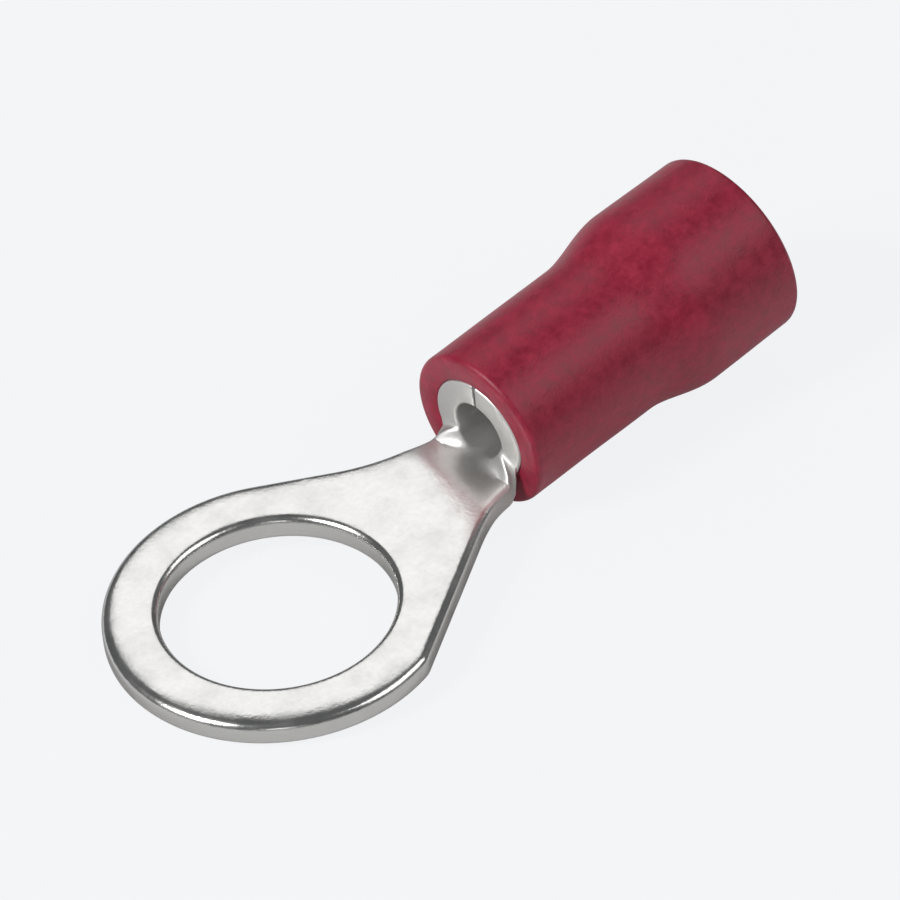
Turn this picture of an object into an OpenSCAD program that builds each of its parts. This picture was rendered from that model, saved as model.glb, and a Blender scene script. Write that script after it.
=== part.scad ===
// Insulated ring terminal for a 0.5 to 1.5 mm2 wire and an M6 stud, in two pieces.
//
// The metal body is one piece of tinned copper sheet. It is blanked flat, its tail is rolled
// into a barrel whose edges butt on top, and the neck between ring and barrel is pressed into
// a trough that curls up from the flat tongue to the barrel's own radius.
// The soft sleeve is pushed over the barrel and flares behind it round the wire's insulation.
//
// Origin: centre of the stud hole, on the underside of the tongue.
// +X runs along the barrel to the wire entry, and +Z is up.

/* [Sheet] */
// Thickness of the sheet that the whole body is made of
sheet_t = 0.75; // [0.6:0.05:0.9]
// Rounding of the blanked edges, left by the punch, tumbling and tinning
edge_r = 0.18; // [0.05:0.01:0.25]

/* [Ring] */
// Diameter of the stud hole
hole_d = 6.5; // [5.3:0.1:6.8]
// Outer diameter of the ring
ring_d = 9.62; // [9:0.02:10.6]

/* [Neck] */
// Distance from the hole's centre to the front face of the barrel
barrel_x = 7.76; // [7.4:0.02:9]
// Angle between the axis and the straight sides that leave the ring
web_angle = 35; // [32:0.5:38]
// How far those sides lie inside the ring's tangent
web_inset = 0.03; // [0.01:0.01:0.1]
// Radius of the hollow flanks that lead to the barrel
flank_r = 6; // [4:0.1:7]
// Narrowest width between the hollow flanks, about where the blank meets the barrel
neck_w = 2.9; // [2.4:0.1:3.2]
// Fillet in the corner between the neck's edge and the barrel's face
corner_r = 0.1; // [0.08:0.01:0.3]
// How far the barrel's underside lies below the tongue's
barrel_drop = 0.17; // [0.05:0.01:0.3]
// How much further the neck dips before it comes up to the barrel
neck_dip = 0.04; // [0:0.01:0.1]
// Distance from the hole's centre to where the sheet starts to sink
sink_x = 3.6; // [3.6:0.1:4.2]
// Length over which it sinks
sink_len = 2.6; // [1.8:0.1:3]
// Length over which its edges curl up, ending at the barrel
curl_len = 0.5; // [0.4:0.05:0.8]

/* [Barrel] */
// Bore for the stripped wire
bore_d = 1.7; // [1.5:0.1:2]
// Length of the rolled barrel
barrel_len = 5; // [4.4:0.1:6]
// Gap left between the butted edges
seam_gap = 0.08; // [0.04:0.01:0.2]
// Chamfer at the wire's end of the bore
bore_chamfer = 0.2; // [0.1:0.05:0.3]
// Number of grip grooves round the bore
groove_count = 3; // [2:1:4]
// Width of one grip groove
groove_w = 0.3; // [0.2:0.05:0.4]
// Depth of one grip groove
groove_depth = 0.06; // [0.03:0.01:0.1]
// Distance from one grip groove to the next
groove_pitch = 0.8; // [0.6:0.05:0.9]

/* [Sleeve] */
// Length of the sleeve
sleeve_len = 9.66; // [9:0.02:11.5]
// Outer diameter over the barrel
grip_d = 4.7; // [4.4:0.02:5.2]
// Largest outer diameter, round the wire's insulation
flare_d = 5.5; // [5.3:0.02:6.2]
// Outer diameter at the mouth
mouth_d = 5.42; // [5.2:0.02:6]
// Bore for the insulated wire
entry_d = 4.3; // [3.9:0.1:4.4]
// Bore of the lip that covers the end of the barrel
lip_d = 2.4; // [2:0.1:2.8]
// Length of that lip
lip_len = 0.35; // [0.2:0.05:0.6]
// Distance from the sleeve's front to the start of the flare
flare_start = 4.6; // [4:0.1:5.2]
// Length of the flare
flare_len = 2.2; // [1.6:0.1:3]
// Length of the funnel inside, from the lip to the entry bore
funnel_len = 1.6; // [1:0.1:2.2]
// Rounding of the sleeve's front edge
front_r = 0.16; // [0.1:0.01:0.3]
// Rounding of the mouth's edges
mouth_r = 0.16; // [0.05:0.01:0.25]

/* [Fit] */
// Radial and end clearance between barrel and sleeve
fit = 0.01; // [0:0.005:0.05]

/* [Hidden] */

hole_r = hole_d / 2;
ring_r = ring_d / 2;
bore_r = bore_d / 2;
barrel_r = bore_r + sheet_t;
mid_r = bore_r + sheet_t / 2;
barrel_end = barrel_x + barrel_len;
axis_z = barrel_r - barrel_drop;

// The neck's outline: a straight side, then a hollow flank that runs out nearly along the axis
web_offset = ring_r - web_inset;
neck_start = web_offset * sin(web_angle);
flank_cy = neck_w / 2 + flank_r;
flank_cx = (web_offset + flank_r - flank_cy * cos(web_angle)) / sin(web_angle);
flank_start = flank_cx - flank_r * sin(web_angle);

// The neck's root inside the barrel's wall: its length, and how much thinner it is
root_depth = 2 * edge_r;
root_inset = 0.01;

// Divisions of curves
round_fn = 144;
edge_steps = 3;
across_steps = 16;
neck_steps = 20;
curl_steps = 9;
corner_steps = 5;
flare_steps = 18;

// Points on an arc from angle a0 to angle a1
function arc(centre, r, a0, a1, steps) = [
    for (i = [0:steps])
        let (a = a0 + (a1 - a0) * i / steps)
        centre + r * [cos(a), sin(a)]
];

// A smooth step from 0 to 1
function ease(s) = let (c = min(1, max(0, s))) c * c * (3 - 2 * c);

// Half the width of the flat blank at x, with the fillet that widens it at the barrel
function neck_half(x) =
    x < flank_start ? (web_offset - x * sin(web_angle)) / cos(web_angle)
    : flank_cy - sqrt(pow(flank_r, 2) - pow(min(x, flank_cx) - flank_cx, 2));
function corner_half(x) =
    let (into = min(corner_r, max(0, x - barrel_x + corner_r)))
    corner_r - sqrt(pow(corner_r, 2) - pow(into, 2));

// How far the sheet has curled at x, from 0 on the flat neck to 1 at the barrel
function formed(x) = ease((x - barrel_x + curl_len) / curl_len);

// How far it has sunk at x: it dips in the neck, then comes back up to the barrel's underside
function sunk(x) =
    let (low_x = sink_x + sink_len)
    (barrel_drop + neck_dip) * ease((x - sink_x) / sink_len)
    - neck_dip * ease((x - low_x) / (barrel_x - low_x));

// Where a point of the sheet comes to lie: u across the blank, n above its middle layer.
// The sheet's curvature grows from none to the barrel's own.
function curled(x, u, n) =
    let (k = formed(x) / mid_r, a = k * u * 180 / PI, z = sheet_t / 2 - sunk(x))
    k == 0 ? [x, u, z + n]
    : [x, sin(a) / k - n * sin(a), z + (1 - cos(a)) / k + n * cos(a)];

// Outline of the flat sheet's section, half_w wide and half_t thick, with round edges: its
// lower half from left to right, then the same points mirrored from right to left
function section(half_w, half_t) =
    let (
        u = half_w - edge_r,
        n = half_t - edge_r,
        lower = concat(
            arc([-u, -n], edge_r, 180, 270, edge_steps),
            [for (i = [1:across_steps - 1]) [u * (2 * i / across_steps - 1), -half_t]],
            arc([u, -n], edge_r, 270, 360, edge_steps)
        )
    )
    concat(lower, [for (i = [len(lower) - 1:-1:0]) [lower[i][0], -lower[i][1]]]);

// A solid through rings of points, each ring's second half lying over its first half
module loft(rings) {
    count = len(rings[0]);
    last = count * (len(rings) - 1);
    sides = [
        for (i = [0:count:last - count], j = [0:count - 1])
            let (a = i + j, b = i + (j + 1) % count)
            each [[a, a + count, b], [b, a + count, b + count]]
    ];
    ends = [
        for (i = [0:count / 2 - 2])
            let (over = count - 1 - i)
            each [
                [i, i + 1, over - 1],
                [i, over - 1, over],
                [last + i, last + over - 1, last + i + 1],
                [last + i, last + over, last + over - 1]
            ]
    ];
    polyhedron([for (ring = rings) each ring], concat(sides, ends), convexity = 6);
}

// A profile of [radius, x] points turned about the barrel's axis
module turned_on_axis(profile) {
    translate([0, 0, axis_z])
        rotate([0, 90, 0])
            rotate_extrude($fn = round_fn)
                polygon(profile);
}

// The flat disc round the stud hole, with a rounded rim. It stops where the neck starts to sink.
module disc() {
    difference() {
        rotate_extrude($fn = round_fn)
            polygon(concat(
                [[0, 0]],
                arc([ring_r - edge_r, edge_r], edge_r, 270, 360, edge_steps),
                arc([ring_r - edge_r, sheet_t - edge_r], edge_r, 0, 90, edge_steps),
                [[0, sheet_t]]
            ));
        translate([sink_x, -ring_r, -ring_r])
            cube(ring_d);
    }
}

// What the punch takes out: the stud hole, widened at both faces by the rounding of its edges
module stud_hole() {
    rotate_extrude($fn = round_fn)
        polygon(concat(
            [[0, -edge_r], [hole_r + edge_r, -edge_r]],
            arc([hole_r + edge_r, edge_r], edge_r, 270, 180, edge_steps),
            arc([hole_r + edge_r, sheet_t - edge_r], edge_r, 180, 90, edge_steps),
            [[hole_r + edge_r, sheet_t + edge_r], [0, sheet_t + edge_r]]
        ));
}

// The neck: the sheet's section carried along the axis from where the straight sides leave the
// disc, narrowing and curling up as it goes.
// It runs on into the barrel's wall as a root that is a hair thinner than the wall.
module neck() {
    corner_x = barrel_x - corner_r;
    curl_x = barrel_x - curl_len;
    stations = concat(
        [for (i = [0:neck_steps]) neck_start + (curl_x - neck_start) * i / neck_steps],
        [for (i = [1:curl_steps]) curl_x + (corner_x - curl_x) * i / curl_steps],
        [for (i = [1:corner_steps - 1]) corner_x + corner_r * sin(90 * i / corner_steps)]
    );
    loft(concat(
        [
            for (x = stations)
                [for (p = section(neck_half(x) + corner_half(x), sheet_t / 2)) curled(x, p[0], p[1])]
        ],
        [
            for (i = [1:2])
                let (x = barrel_x + (i - 1) * root_depth, inset = i * root_inset)
                [
                    for (p = section(neck_half(x) + corner_r - inset, sheet_t / 2 - inset))
                        curled(x, p[0], p[1])
                ]
        ]
    ));
}

// The barrel's wall in section, with grip grooves in its bore
module barrel_wall() {
    groove_x = barrel_x + (barrel_len - bore_chamfer - (groove_count - 1) * groove_pitch) / 2;
    turned_on_axis(concat(
        [[bore_r, barrel_x], [barrel_r, barrel_x]],
        arc([barrel_r - edge_r, barrel_end - edge_r], edge_r, 0, 90, edge_steps),
        [[bore_r + bore_chamfer, barrel_end], [bore_r, barrel_end - bore_chamfer]],
        [
            for (i = [groove_count - 1:-1:0])
                let (x = groove_x + i * groove_pitch, half = groove_w / 2)
                each [
                    [bore_r, x + half],
                    [bore_r + groove_depth, x + half - groove_depth],
                    [bore_r + groove_depth, x - half + groove_depth],
                    [bore_r, x - half]
                ]
        ]
    ));
}

// The slot between the butted edges, which are rounded inside and out
module seam() {
    lip = seam_gap / 2 + edge_r;
    right_side = concat(
        [[lip, 0]],
        arc([lip, bore_r + edge_r], edge_r, 270, 180, edge_steps),
        arc([lip, barrel_r - edge_r], edge_r, 180, 90, edge_steps),
        [[lip, barrel_r + edge_r]]
    );
    left_side = [for (i = [len(right_side) - 1:-1:0]) [-right_side[i][0], right_side[i][1]]];
    translate([barrel_x - edge_r, 0, axis_z])
        rotate([90, 0, 90])
            linear_extrude(height = barrel_len + 2 * edge_r)
                polygon(concat(right_side, left_side));
}

module terminal_body() {
    color("silver")
        union() {
            difference() {
                union() {
                    disc();
                    neck();
                }
                stud_hole();
            }
            difference() {
                barrel_wall();
                seam();
            }
        }
}

module insulating_sleeve() {
    front_x = barrel_x;
    mouth_x = front_x + sleeve_len;
    flare_x = front_x + flare_start;
    lip_x = barrel_end + fit;
    funnel_x = lip_x + lip_len;
    bore = barrel_r + fit;
    color("firebrick")
        turned_on_axis(concat(
            [[bore + edge_r, front_x]],
            arc([grip_d / 2 - front_r, front_x + front_r], front_r, 270, 360, edge_steps),
            [
                for (i = [0:flare_steps])
                    let (s = i / flare_steps)
                    [(grip_d + (flare_d - grip_d) * ease(s)) / 2, flare_x + flare_len * s]
            ],
            arc([mouth_d / 2 - mouth_r, mouth_x - mouth_r], mouth_r, 0, 90, edge_steps),
            arc([entry_d / 2 + mouth_r, mouth_x - mouth_r], mouth_r, 90, 180, edge_steps),
            [
                for (i = [flare_steps:-1:0])
                    let (s = i / flare_steps)
                    [(lip_d + (entry_d - lip_d) * ease(s)) / 2, funnel_x + funnel_len * s]
            ],
            [[lip_d / 2, lip_x], [bore, lip_x], [bore, front_x + edge_r]]
        ));
}

terminal_body();
insulating_sleeve();
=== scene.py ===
import math

import bpy
import bmesh
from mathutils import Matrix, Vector, noise


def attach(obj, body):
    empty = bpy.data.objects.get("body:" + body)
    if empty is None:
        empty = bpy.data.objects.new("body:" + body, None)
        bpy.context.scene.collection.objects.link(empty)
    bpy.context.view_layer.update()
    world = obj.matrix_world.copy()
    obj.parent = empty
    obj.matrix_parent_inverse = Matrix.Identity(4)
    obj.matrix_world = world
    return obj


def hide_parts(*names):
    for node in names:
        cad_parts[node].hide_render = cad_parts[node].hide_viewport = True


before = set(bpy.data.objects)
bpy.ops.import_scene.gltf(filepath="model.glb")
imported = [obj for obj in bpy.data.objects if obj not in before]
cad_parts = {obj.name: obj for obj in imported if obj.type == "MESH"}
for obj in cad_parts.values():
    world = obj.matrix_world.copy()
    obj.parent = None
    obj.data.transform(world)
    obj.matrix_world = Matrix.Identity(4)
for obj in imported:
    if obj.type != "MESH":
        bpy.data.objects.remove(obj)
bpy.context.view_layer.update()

mm = 0.001


# ---------------------------------------------------------------- camera
# The terminal is looked at from the ring's side, from well above, with its barrel running away
# up to the right. The lens is long and stands a metre off, so that the part keeps its proportions.

camera_turn = math.radians(-39.22)
camera_lift = math.radians(43.155)
camera_roll = math.radians(-7.858)
camera_reach = 1.0
view_width = 24.39 * mm
aim = Vector((6.5 * mm, 0, 1.2 * mm))

backward = Vector((
    math.sin(camera_turn) * math.cos(camera_lift),
    -math.cos(camera_turn) * math.cos(camera_lift),
    math.sin(camera_lift),
))
level_right = Vector((0, 0, 1)).cross(backward).normalized()
level_up = backward.cross(level_right)
right = math.cos(camera_roll) * level_right + math.sin(camera_roll) * level_up
up = -math.sin(camera_roll) * level_right + math.cos(camera_roll) * level_up
aim = aim + right * 0.109 * mm + up * 0.315 * mm

camera_data = bpy.data.cameras.new("camera")
camera_data.sensor_width = 36
camera_data.lens = camera_reach / view_width * camera_data.sensor_width
camera = bpy.data.objects.new("camera", camera_data)
bpy.context.scene.collection.objects.link(camera)
turn = camera.matrix_world.to_3x3()
turn.col[0], turn.col[1], turn.col[2] = right, up, backward
camera.matrix_world = turn.to_4x4()
camera.location = aim + backward * camera_reach
bpy.context.scene.camera = camera


# ---------------------------------------------------------------- table and light
# A pale table top carries the terminal, which rests on the tip of its ring and on the front rim of
# its sleeve, so the table leans a little against the tongue. Four soft boxes stand round it.

# The two lowest places: where the ring's underside starts to round, and the sleeve's front rim
table_gap = 0.01 * mm
ring_tip = Vector((-4.62 * mm, 0, -table_gap))
sleeve_rim = Vector((7.92 * mm, 0, -0.92 * mm - table_gap))
table_lean = math.atan2(ring_tip.z - sleeve_rim.z, sleeve_rim.x - ring_tip.x)

bpy.ops.object.select_all(action="DESELECT")
bpy.ops.mesh.primitive_plane_add(size=1.6, location=ring_tip, rotation=(0, table_lean, 0))
table = bpy.context.object
table.name = "table"
bpy.ops.object.transform_apply(location=True, rotation=True, scale=True)

paper = bpy.data.materials.new("white_paper")
paper.use_nodes = True
nodes, links = paper.node_tree.nodes, paper.node_tree.links
shade = nodes["Principled BSDF"]
shade.inputs["Base Color"].default_value = (0.905, 0.913, 0.930, 1)
shade.inputs["Roughness"].default_value = 0.9
shade.inputs["Specular IOR Level"].default_value = 0.1
glow = nodes.new("ShaderNodeEmission")
glow.inputs["Color"].default_value = (0.915, 0.923, 0.940, 1)
ray = nodes.new("ShaderNodeLightPath")
part = None
paper_shares = (("Is Camera Ray", 0.94), ("Is Glossy Ray", 0.15), ("Is Transmission Ray", 0.94))
for kind, share in paper_shares:
    step = nodes.new("ShaderNodeMath")
    step.operation = "MULTIPLY_ADD"
    step.inputs[1].default_value = share
    step.inputs[2].default_value = 0
    links.new(ray.outputs[kind], step.inputs[0])
    if part:
        links.new(part.outputs[0], step.inputs[2])
    part = step
blend = nodes.new("ShaderNodeMixShader")
links.new(part.outputs[0], blend.inputs["Fac"])
links.new(shade.outputs["BSDF"], blend.inputs[1])
links.new(glow.outputs["Emission"], blend.inputs[2])
links.new(blend.outputs["Shader"], nodes["Material Output"].inputs["Surface"])
table.data.materials.append(paper)


def soft_box(name, place, width, height, brightness, colour=(1, 1, 1)):
    """A rectangular lamp that faces the terminal, as bright as a surface of that strength."""
    lamp = bpy.data.lights.new(name, "AREA")
    lamp.shape = "RECTANGLE"
    lamp.size, lamp.size_y = width, height
    lamp.energy = brightness * math.pi * width * height
    lamp.color = colour
    box = bpy.data.objects.new(name, lamp)
    bpy.context.scene.collection.objects.link(box)
    box.location = place
    box.rotation_euler = Vector(place).to_track_quat("Z", "Y").to_euler()


soft_box("back_box", (0.23, 0.28, 0.345), 0.27, 0.25, 1.1)
soft_box("left_box", (-0.34, 0.10, 0.36), 0.16, 0.16, 23)
soft_box("front_box", (-0.40, -0.36, 0.20), 0.12, 0.12, 2.6)
soft_box("right_box", (0.24, -0.29, 0.36), 0.40, 0.30, 1.85)

world = bpy.data.worlds.new("studio")
bpy.context.scene.world = world
world.use_nodes = True
world.node_tree.nodes["Background"].inputs["Color"].default_value = (0.95, 0.975, 1.0, 1)
world.node_tree.nodes["Background"].inputs["Strength"].default_value = 0.11
bpy.context.scene.view_settings.view_transform = "Standard"


# ---------------------------------------------------------------- terminal body
# One piece of tinned copper sheet: a ring for the stud, a neck and a tail, blanked flat. The tail
# is rolled into a barrel whose edges butt on top, and the neck is pressed into a trough before it.

sheet = 0.75 * mm
hole_radius = 3.25 * mm
ring_radius = 4.81 * mm
# The straight sides that leave the ring, left and right of the barrel's line: the angle of each,
# its distance from the hole's centre, and the half width that it leads to. The right one is cut
# closer and at a flatter angle than the left.
left_side = (math.radians(36), ring_radius, 1.43 * mm)
right_side = (math.radians(29), 4.63 * mm, 1.48 * mm)
flank_radius = 6 * mm
barrel_front = 7.76 * mm
barrel_rear = 12.76 * mm
barrel_bore = 0.85 * mm
barrel_middle = barrel_bore + sheet / 2
barrel_sink = 0.17 * mm
sink_start = 6.3 * mm
sink_end = 7.7 * mm
curl_length = 0.5 * mm
corner = 0.1 * mm
rim = 0.28 * mm
seam_gap = 0.08 * mm
groove_places = [9.3 * mm, 10.1 * mm, 10.9 * mm]
barrel_axis = barrel_bore + sheet - barrel_sink
groove_depth = 0.06 * mm
groove_half = 0.1 * mm
edge_round = 0.19 * mm

# The punch draws the upper face down along the rim, most on the far left, and a little at the hole
rim_roll_width = 0.65 * mm
rim_roll_least = 0.055 * mm
rim_roll_more = 0.06 * mm
rim_roll_side = math.radians(165)
hole_roll_width = 0.35 * mm
hole_roll = 0.03 * mm
roll_fades = (6.6 * mm, 0.9 * mm)
worked_from = (5.9 * mm, 1.1 * mm)

# The blank's mesh: spokes round the hole, and the line where the neck takes over from them
spokes = 256
last_spoke = 26
neck_line = 4.0 * mm
neck_rows = 30
flap_steps = 22


def ease(share):
    share = min(1, max(0, share))
    return share * share * (3 - 2 * share)


def flank(hand):
    """The hollow flank of one hand: its centre, and where it takes over from the straight side."""
    angle, reach, half = left_side if hand > 0 else right_side
    y = half + flank_radius
    x = (reach + flank_radius - y * math.cos(angle)) / math.sin(angle)
    return x, y, x - flank_radius * math.sin(angle)


def half_blank(x, hand):
    """How far the flat blank reaches from its middle line at x, on one hand."""
    angle, reach, _ = left_side if hand > 0 else right_side
    flank_x, flank_y, flank_front = flank(hand)
    if x < flank_front:
        half = (reach - x * math.sin(angle)) / math.cos(angle)
    else:
        half = flank_y - math.sqrt(flank_radius ** 2 - (min(x, barrel_front) - flank_x) ** 2)
    into = min(corner, max(0, x - barrel_front + corner))
    return half + corner - math.sqrt(corner ** 2 - into ** 2)


def ring_edge(turn):
    """Distance of the blank's edge from the hole's centre, in a direction clear of the neck."""
    angle, reach, _ = left_side if turn > 0 else right_side
    away = abs(turn) - (math.pi / 2 - angle)
    on_side = away < math.acos(reach / ring_radius)
    return reach / math.cos(away) if on_side else ring_radius


def from_edge(x, y):
    """How far a point of the blank lies from the blank's outer edge."""
    angle, reach, _ = left_side if y > 0 else right_side
    flank_x, flank_y, flank_front = flank(y)
    if x > flank_front:
        return math.hypot(x - flank_x, abs(y) - flank_y) - flank_radius
    if abs(math.atan2(y, x)) < math.pi / 2 - angle + math.acos(reach / ring_radius):
        return reach - x * math.sin(angle) - abs(y) * math.cos(angle)
    return ring_radius - math.hypot(x, y)


def formed(x, u, n):
    """Where the press takes a point of the flat blank, u across it and n above its middle."""
    sunk = barrel_sink * ease((x - sink_start) / (sink_end - sink_start))
    curl = ease((x - barrel_front + curl_length) / curl_length) / barrel_middle
    z = sheet / 2 - sunk
    if curl == 0:
        return Vector((x, u, z + n))
    arm = 1 / curl - n
    return Vector((x, math.sin(u * curl) * arm, z + 1 / curl - math.cos(u * curl) * arm))


def pick(mesh, rule):
    """Selects the vertices where the rule says, with the edges and faces between them."""
    for face in mesh.faces:
        face.select = False
    for edge in mesh.edges:
        edge.select = False
    for v in mesh.verts:
        v.select = rule(v.co)
    mesh.select_flush(True)


# The ring: a circle of spokes drawn out from the hole to the edge of the blank
bpy.ops.object.select_all(action="DESELECT")
bpy.ops.mesh.primitive_circle_add(vertices=spokes, radius=hole_radius)
body = bpy.context.object
body.name = "tinned_copper_body"
bpy.ops.object.mode_set(mode="EDIT")
bpy.ops.mesh.select_mode(type="VERT")
bpy.ops.mesh.select_all(action="SELECT")


def row_place(i, x):
    """Where row i lies across the blank at x: the first and the last are its edges."""
    half = half_blank(x, i)
    if abs(i) == last_spoke:
        return math.copysign(half, i)
    return i / (last_spoke - 1) * (half - rim)


for step, share in enumerate((0, 0.14, 0.28, 0.5, 0.72, 0.86, 1, "edge")):
    bpy.ops.mesh.extrude_region_move(TRANSFORM_OT_translate={"value": (0, 0, 0)})
    mesh = bmesh.from_edit_mesh(body.data)
    row = sorted(
        (v for v in mesh.verts if v.select),
        key=lambda v: (math.atan2(v.co.y, v.co.x) + 0.005) % (2 * math.pi),
    )
    for rank, v in enumerate(row):
        i = rank if rank <= spokes // 2 else rank - spokes
        angle = i * 2 * math.pi / spokes
        out = Vector((math.cos(angle), math.sin(angle), 0))
        start = out * (hole_radius + rim)
        if abs(i) <= last_spoke:
            v.co = start.lerp(Vector((neck_line, row_place(i, neck_line), 0)), step / 7)
        elif share == "edge":
            v.co = out * ring_edge(angle)
        else:
            v.co = start.lerp(out * (ring_edge(angle) - rim), share)
    bmesh.update_edit_mesh(body.data)

# The neck: the ring's front line drawn out along the tail, row by row. A point this near a line
# counts as on it.
near = 1e-7
mesh = bmesh.from_edit_mesh(body.data)
pick(mesh, lambda p: abs(p.x - neck_line) < near and abs(p.y) < half_blank(neck_line, p.y) + near)
bmesh.update_edit_mesh(body.data)
neck_end = barrel_front - 0.2 * mm
neck_steps = [
    neck_line + (neck_end - neck_line) * i / neck_rows for i in range(1, neck_rows + 1)
]
corner_steps = [barrel_front - corner + corner * math.sin(math.radians(a)) for a in (0, 30, 60, 90)]
groove_steps = []
for place in groove_places:
    groove_steps += [place - 0.15 * mm, place - 0.09 * mm, place + 0.09 * mm, place + 0.15 * mm]
barrel_steps = [barrel_front + rim, barrel_front + 0.7 * mm, barrel_front + 1.1 * mm]
barrel_steps += groove_steps
barrel_steps += [barrel_rear - 1.0 * mm, barrel_rear - rim, barrel_rear]
here = neck_line
for x in neck_steps + corner_steps + barrel_steps:
    bpy.ops.mesh.extrude_region_move(TRANSFORM_OT_translate={"value": (x - here, 0, 0)})
    here = x
    mesh = bmesh.from_edit_mesh(body.data)
    chosen = sorted((v for v in mesh.verts if v.select), key=lambda v: v.co.y)
    for i, v in zip(range(-last_spoke, last_spoke + 1), chosen):
        v.co.y = row_place(i, x)
    bmesh.update_edit_mesh(body.data)

# The tail's flaps: both sides drawn out to the width that rolls up into the barrel
flap_half = math.pi * barrel_middle - seam_gap / 2
for hand in (-1, 1):
    barrel_half = half_blank(barrel_rear, hand)
    mesh = bmesh.from_edit_mesh(body.data)
    pick(mesh, lambda p: p.x > barrel_front - near and abs(p.y - hand * barrel_half) < near)
    bmesh.update_edit_mesh(body.data)
    flap_width = flap_half - rim - barrel_half
    here = barrel_half
    for i in range(1, flap_steps + 2):
        there = flap_half if i > flap_steps else barrel_half + flap_width * i / flap_steps
        step = (0, hand * (there - here), 0)
        bpy.ops.mesh.extrude_region_move(TRANSFORM_OT_translate={"value": step})
        here = there
bpy.ops.mesh.select_all(action="SELECT")
bpy.ops.mesh.remove_doubles(threshold=1e-7)
bpy.ops.mesh.normals_make_consistent(inside=False)
bpy.ops.object.mode_set(mode="OBJECT")

# The sheet's thickness, and the rounding that the punch and the tinning leave on its edges
thickness = body.modifiers.new("sheet", "SOLIDIFY")
thickness.thickness = sheet
thickness.offset = 0
bpy.ops.object.modifier_apply(modifier="sheet")
mesh = bmesh.new()
mesh.from_mesh(body.data)
weight = mesh.edges.layers.float.new("bevel_weight_edge")
for edge in mesh.edges:
    if edge.calc_face_angle(0) > math.radians(50):
        at_barrel = all(v.co.x > barrel_front - near for v in edge.verts)
        at_seam = at_barrel and all(abs(v.co.y) > flap_half - near for v in edge.verts)
        edge[weight] = 0.2 if at_seam else 0.4 if at_barrel else 1
mesh.to_mesh(body.data)
mesh.free()
rounding = body.modifiers.new("edges", "BEVEL")
rounding.width = edge_round
rounding.segments = 5
rounding.limit_method = "WEIGHT"
rounding.use_clamp_overlap = False
bpy.ops.object.modifier_apply(modifier="edges")

# What is a cut edge and what the press works hard is marked while the blank is flat; the cut edges'
# mark also carries painted shade
cut_edge_and_painted_shade = body.data.attributes.new("cut_edge_and_painted_shade", "FLOAT", "POINT")
worked = body.data.attributes.new("worked", "FLOAT", "POINT")
for i, v in enumerate(body.data.vertices):
    # Sideways-facing walls and rims get a darker colour, less on the barrel's front face: partly
    # duller sheared tin, partly painted shade
    dull_edge_and_shade = 1 - ease((abs(v.normal.z) - 0.2) / 0.6)
    cut_edge_and_painted_shade.data[i].value = dull_edge_and_shade * (0.4 if v.co.x > barrel_front - corner else 0.8)
    worked.data[i].value = ease((v.co.x - worked_from[0]) / worked_from[1])

# The punch has drawn the upper face down along its edges, and the grip grooves are pressed across
# the tail
for v in body.data.vertices:
    x, y = v.co.x, v.co.y
    at_rim = max(0, 1 - max(0, from_edge(x, y)) / rim_roll_width) ** 2
    at_hole = max(0, 1 - max(0, math.hypot(x, y) - hole_radius) / hole_roll_width) ** 2
    far_left = 0.5 + 0.5 * math.cos(math.atan2(y, x) - rim_roll_side)
    before_barrel = 1 - ease((x - roll_fades[0]) / roll_fades[1])
    roll = (rim_roll_least + rim_roll_more * far_left) * at_rim * before_barrel
    roll += hole_roll * at_hole
    v.co.z -= roll * (v.co.z / sheet + 0.5)
    for groove in groove_places:
        if abs(x - groove) < groove_half and v.co.z > sheet / 2 - 0.01 * mm:
            v.co.z -= groove_depth

# The press sinks and curls the neck and rolls up the tail
for v in body.data.vertices:
    v.co = formed(v.co.x, v.co.y, v.co.z)
bpy.ops.object.mode_set(mode="EDIT")
bpy.ops.mesh.select_all(action="SELECT")
bpy.ops.mesh.normals_make_consistent(inside=False)
bpy.ops.object.mode_set(mode="OBJECT")
bpy.ops.object.shade_smooth_by_angle(angle=math.radians(40))

tin = bpy.data.materials.new("bright_tin")
tin.use_nodes = True
nodes, links = tin.node_tree.nodes, tin.node_tree.links
metal = nodes["Principled BSDF"]
metal.inputs["Metallic"].default_value = 1
metal.inputs["Specular Tint"].default_value = (0.45, 0.45, 0.45, 1)
place = nodes.new("ShaderNodeTexCoord")

grain = nodes.new("ShaderNodeTexNoise")
grain.inputs["Scale"].default_value = 9000
grain.inputs["Detail"].default_value = 4
links.new(place.outputs["Object"], grain.inputs["Vector"])
cloud = nodes.new("ShaderNodeTexNoise")
cloud.inputs["Scale"].default_value = 1100
cloud.inputs["Detail"].default_value = 3
links.new(place.outputs["Object"], cloud.inputs["Vector"])

tone = nodes.new("ShaderNodeMapRange")
tone.inputs["From Min"].default_value = 0.35
tone.inputs["From Max"].default_value = 0.65
tone.inputs["To Min"].default_value = 0.16
tone.inputs["To Max"].default_value = 0.26
links.new(cloud.outputs["Fac"], tone.inputs["Value"])

tint = nodes.new("ShaderNodeMix")
tint.data_type = "RGBA"
tint.inputs["A"].default_value = (0.68, 0.672, 0.655, 1)
tint.inputs["B"].default_value = (0.86, 0.853, 0.84, 1)
speckle = nodes.new("ShaderNodeTexNoise")
speckle.inputs["Scale"].default_value = 5200
speckle.inputs["Detail"].default_value = 6
speckle.inputs["Roughness"].default_value = 0.7
links.new(place.outputs["Object"], speckle.inputs["Vector"])
links.new(speckle.outputs["Fac"], tint.inputs["Factor"])
edge_and_painted_shade_mark = nodes.new("ShaderNodeAttribute")
edge_and_painted_shade_mark.attribute_name = "cut_edge_and_painted_shade"
work_mark = nodes.new("ShaderNodeAttribute")
work_mark.attribute_name = "worked"
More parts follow.
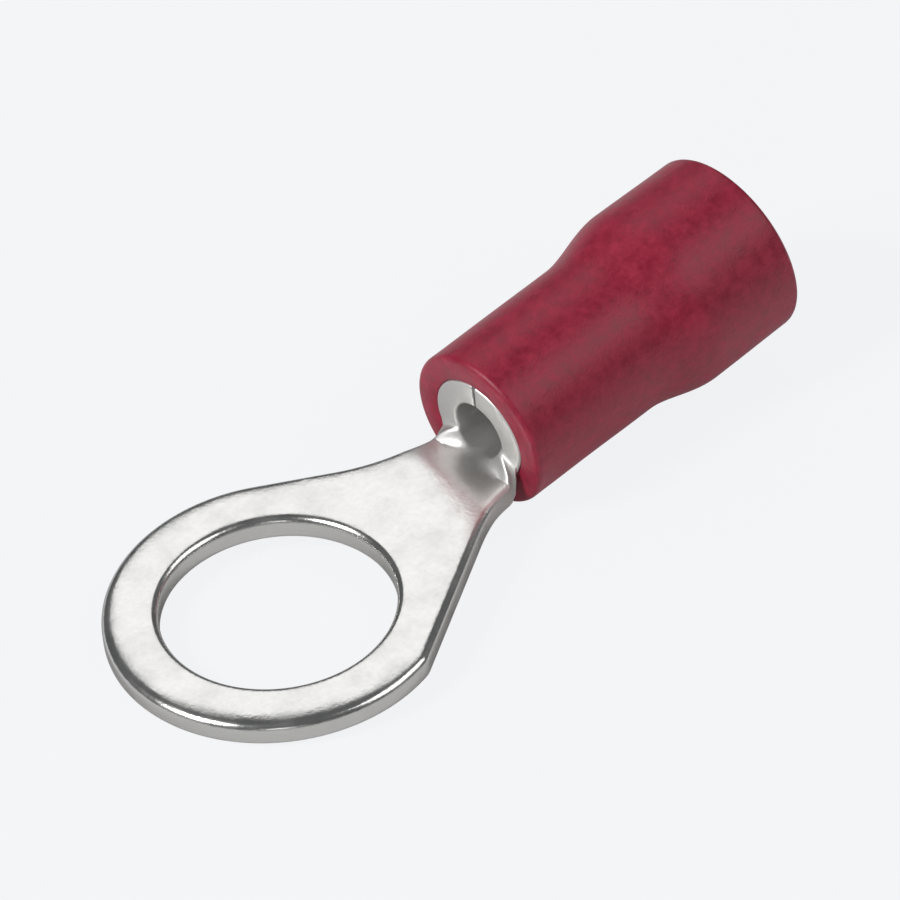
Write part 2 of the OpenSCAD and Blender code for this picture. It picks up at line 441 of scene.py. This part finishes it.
# The cut edges' darker grey is partly the duller tin of a sheared edge and partly painted shade,
# standing in for the dark table the walls reflect
dull_and_painted_shade = nodes.new("ShaderNodeMix")
dull_and_painted_shade.data_type = "RGBA"
dull_and_painted_shade.inputs["B"].default_value = (0.49, 0.48, 0.455, 1)
links.new(tint.outputs["Result"], dull_and_painted_shade.inputs["A"])
links.new(edge_and_painted_shade_mark.outputs["Fac"], dull_and_painted_shade.inputs["Factor"])
links.new(dull_and_painted_shade.outputs["Result"], metal.inputs["Base Color"])
cut_rough = nodes.new("ShaderNodeMath")
cut_rough.operation = "MULTIPLY_ADD"
cut_rough.inputs[1].default_value = 0.17
links.new(edge_and_painted_shade_mark.outputs["Fac"], cut_rough.inputs[0])
links.new(tone.outputs["Result"], cut_rough.inputs[2])
work_rough = nodes.new("ShaderNodeMath")
work_rough.operation = "MULTIPLY_ADD"
work_rough.inputs[1].default_value = 0.28
links.new(work_mark.outputs["Fac"], work_rough.inputs[0])
links.new(cut_rough.outputs[0], work_rough.inputs[2])
links.new(work_rough.outputs[0], metal.inputs["Roughness"])

pits = nodes.new("ShaderNodeBump")
pits.inputs["Strength"].default_value = 0.45
pits.inputs["Distance"].default_value = 0.01 * mm
links.new(grain.outputs["Fac"], pits.inputs["Height"])
waves = nodes.new("ShaderNodeBump")
waves.inputs["Strength"].default_value = 0.22
waves.inputs["Distance"].default_value = 0.03 * mm
links.new(cloud.outputs["Fac"], waves.inputs["Height"])
links.new(pits.outputs["Normal"], waves.inputs["Normal"])
links.new(waves.outputs["Normal"], metal.inputs["Normal"])

body.data.materials.append(tin)
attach(body, "root")
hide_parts("terminal_body")


# ---------------------------------------------------------------- insulating sleeve
# A soft red sleeve of moulded vinyl, pushed over the barrel until it is flush with the barrel's
# front. It grips the metal, and flares behind it to take the wire's insulation.

sleeve_front = barrel_front
sleeve_rear = 17.42 * mm
grip_radius = 2.35 * mm
flare_radius = 2.7475 * mm
mouth_radius = 2.71 * mm
entry_radius = 2.15 * mm
lip_radius = 1.2 * mm
sleeve_bore = barrel_bore + sheet + 0.01 * mm
front_round = 0.16 * mm
mouth_round = 0.16 * mm
flare_front = sleeve_front + 4.6 * mm
flare_length = 2.2 * mm
lip_front = barrel_rear + 0.01 * mm
funnel_front = lip_front + 0.35 * mm
funnel_length = 1.6 * mm
turns = 192
swell_height = 0.012 * mm
swell_below = 0.008 * mm


def quarter(x, radius, size, first):
    """A quarter round of the sleeve's outline, from the angle first on."""
    angles = [math.radians(first + 15 * i) for i in range(7)]
    return [(x + size * math.sin(a), radius + size * math.cos(a)) for a in angles]


outline = [(sleeve_front + 0.05 * mm, sleeve_bore), (sleeve_front, sleeve_bore + 0.06 * mm)]
outline += [(sleeve_front, grip_radius - front_round - 0.15 * mm)]
outline += quarter(sleeve_front + front_round, grip_radius - front_round, front_round, -90)
grip_start = sleeve_front + front_round
outline += [
    (grip_start + (flare_front - grip_start) * i / 16, grip_radius) for i in range(1, 16)
]
outline += [
    (flare_front + flare_length * i / 24, grip_radius + (flare_radius - grip_radius) * ease(i / 24))
    for i in range(25)
]
flare_end = flare_front + flare_length
outline += [
    (flare_end + (sleeve_rear - mouth_round - flare_end) * i / 8,
     flare_radius + (mouth_radius - flare_radius) * i / 8)
    for i in range(1, 8)
]
outline += quarter(sleeve_rear - mouth_round, mouth_radius - mouth_round, mouth_round, 0)
outline += quarter(sleeve_rear - mouth_round, entry_radius + mouth_round, mouth_round, 90)
outline += [
    (funnel_front + funnel_length * i / 12, lip_radius + (entry_radius - lip_radius) * ease(i / 12))
    for i in range(12, -1, -1)
]
outline += [(lip_front, lip_radius), (lip_front, sleeve_bore)]

bpy.ops.object.select_all(action="DESELECT")
bpy.ops.mesh.primitive_circle_add(
    vertices=turns, radius=outline[0][1],
    location=(outline[0][0], 0, barrel_axis), rotation=(0, math.pi / 2, 0),
)
sleeve = bpy.context.object
sleeve.name = "red_vinyl_sleeve"
bpy.ops.object.transform_apply(location=True, rotation=True, scale=True)
bpy.ops.object.mode_set(mode="EDIT")
bpy.ops.mesh.select_mode(type="VERT")
bpy.ops.mesh.select_all(action="SELECT")
for (x0, r0), (x1, r1) in zip(outline, outline[1:] + outline[:1]):
    bpy.ops.mesh.extrude_region_move(TRANSFORM_OT_translate={"value": (x1 - x0, 0, 0)})
    bpy.ops.transform.resize(value=(1, r1 / r0, r1 / r0), center_override=(x1, 0, barrel_axis))
bpy.ops.mesh.select_all(action="SELECT")
bpy.ops.mesh.remove_doubles(threshold=1e-6)
bpy.ops.mesh.normals_make_consistent(inside=False)
bpy.ops.object.mode_set(mode="OBJECT")

# The soft wall is nowhere quite round or straight
for v in sleeve.data.vertices:
    out = Vector((0, v.co.y, v.co.z - barrel_axis))
    if v.co.x > sleeve_front + 0.3 * mm and out.length > grip_radius - 0.05 * mm:
        swell = noise.noise(Vector((v.co.x, v.co.y, v.co.z)) * 450)
        v.co += out.normalized() * (swell * swell_height - swell_below)
bpy.ops.object.shade_smooth_by_angle(angle=math.radians(50))

vinyl = bpy.data.materials.new("red_vinyl")
vinyl.use_nodes = True
nodes, links = vinyl.node_tree.nodes, vinyl.node_tree.links
skin = nodes["Principled BSDF"]
place = nodes.new("ShaderNodeTexCoord")
blotch = nodes.new("ShaderNodeTexNoise")
blotch.inputs["Scale"].default_value = 2600
blotch.inputs["Detail"].default_value = 8
blotch.inputs["Roughness"].default_value = 0.72
links.new(place.outputs["Object"], blotch.inputs["Vector"])
spread = nodes.new("ShaderNodeMapRange")
spread.inputs["From Min"].default_value = 0.32
spread.inputs["From Max"].default_value = 0.68
links.new(blotch.outputs["Fac"], spread.inputs["Value"])
hue = nodes.new("ShaderNodeMix")
hue.data_type = "RGBA"
hue.inputs["A"].default_value = (0.225, 0.004, 0.023, 1)
hue.inputs["B"].default_value = (0.385, 0.018, 0.052, 1)
links.new(spread.outputs["Result"], hue.inputs["Factor"])
links.new(hue.outputs["Result"], skin.inputs["Base Color"])
gloss = nodes.new("ShaderNodeMapRange")
gloss.inputs["To Min"].default_value = 0.36
gloss.inputs["To Max"].default_value = 0.50
links.new(spread.outputs["Result"], gloss.inputs["Value"])
links.new(gloss.outputs["Result"], skin.inputs["Roughness"])
skin.inputs["Specular IOR Level"].default_value = 0.48

# Fine brush marks run slantwise round the sleeve, over a finer grain
slant = nodes.new("ShaderNodeMapping")
slant.vector_type = "TEXTURE"
slant.inputs["Rotation"].default_value = (0, 0, math.radians(42))
slant.inputs["Scale"].default_value = (0.22 * mm, 0.06 * mm, 0.06 * mm)
links.new(place.outputs["Object"], slant.inputs["Vector"])
brush = nodes.new("ShaderNodeTexNoise")
brush.inputs["Scale"].default_value = 1
brush.inputs["Detail"].default_value = 3
links.new(slant.outputs["Vector"], brush.inputs["Vector"])
marks = nodes.new("ShaderNodeBump")
marks.inputs["Strength"].default_value = 0.5
marks.inputs["Distance"].default_value = 0.014 * mm
links.new(brush.outputs["Fac"], marks.inputs["Height"])
fine = nodes.new("ShaderNodeTexNoise")
fine.inputs["Scale"].default_value = 7000
fine.inputs["Detail"].default_value = 4
links.new(place.outputs["Object"], fine.inputs["Vector"])
matt = nodes.new("ShaderNodeBump")
matt.inputs["Strength"].default_value = 0.5
matt.inputs["Distance"].default_value = 0.016 * mm
links.new(fine.outputs["Fac"], matt.inputs["Height"])
links.new(marks.outputs["Normal"], matt.inputs["Normal"])
links.new(matt.outputs["Normal"], skin.inputs["Normal"])
sleeve.data.materials.append(vinyl)
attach(sleeve, "root")
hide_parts("insulating_sleeve")
